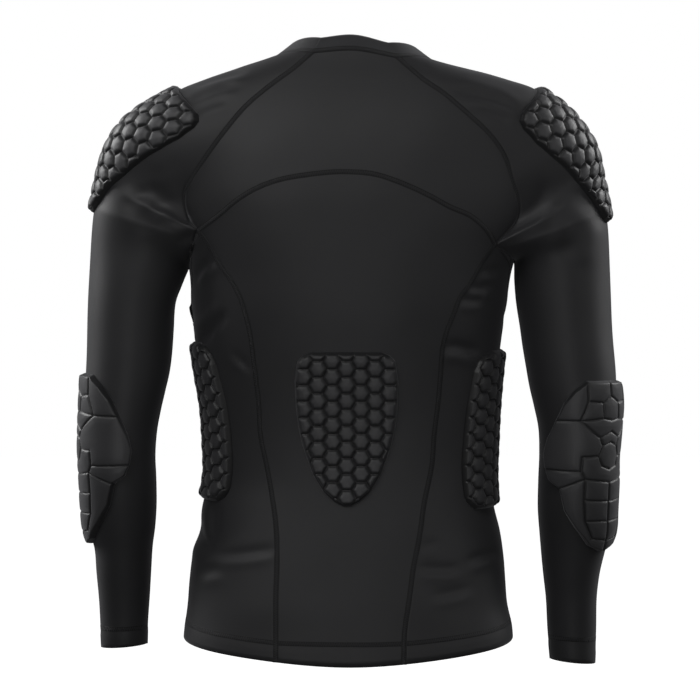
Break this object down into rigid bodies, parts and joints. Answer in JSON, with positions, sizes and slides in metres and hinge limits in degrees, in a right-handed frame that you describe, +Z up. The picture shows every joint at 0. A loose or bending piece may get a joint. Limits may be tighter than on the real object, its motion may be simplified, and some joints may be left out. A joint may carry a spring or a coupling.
{
  "type": "padded compression shirt",
  "caption": "Long-sleeved close-fitting knit shirt in the form it has when worn, with foam pads on the shoulders, elbows, ribs and tail bone.",
  "frame": {"origin": "middle of the neck opening, level with the neck seam at the back, where the wearer's neck and shoulders hold the shirt", "axes": "+Z up towards the head, +Y out of the back, -Y out of the chest, +X towards the wearer's left"},
  "size_m": [0.6022, 0.2295, 0.6959],
  "materials": {
    "shell_knit": "smooth polyester elastane knit, soft sheen",
    "collar_knit": "fine ribbed knit",
    "pad_face": "knit-faced moulded foam, satin"
  },
  "bodies": {
    "root": {"collar": "collar_knit", "front_panel": "shell_knit", "upper_back": "shell_knit", "centre_back": "shell_knit", "side_panel_left": "shell_knit", "side_panel_right": "shell_knit", "sleeve_left": "shell_knit", "sleeve_right": "shell_knit", "shoulder_pad_left": "pad_face", "shoulder_pad_right": "pad_face", "elbow_pad_left": "pad_face", "elbow_pad_right": "pad_face", "rib_pad_left": "pad_face", "rib_pad_right": "pad_face", "tail_pad": "pad_face"}
  },
  "joints": []
}
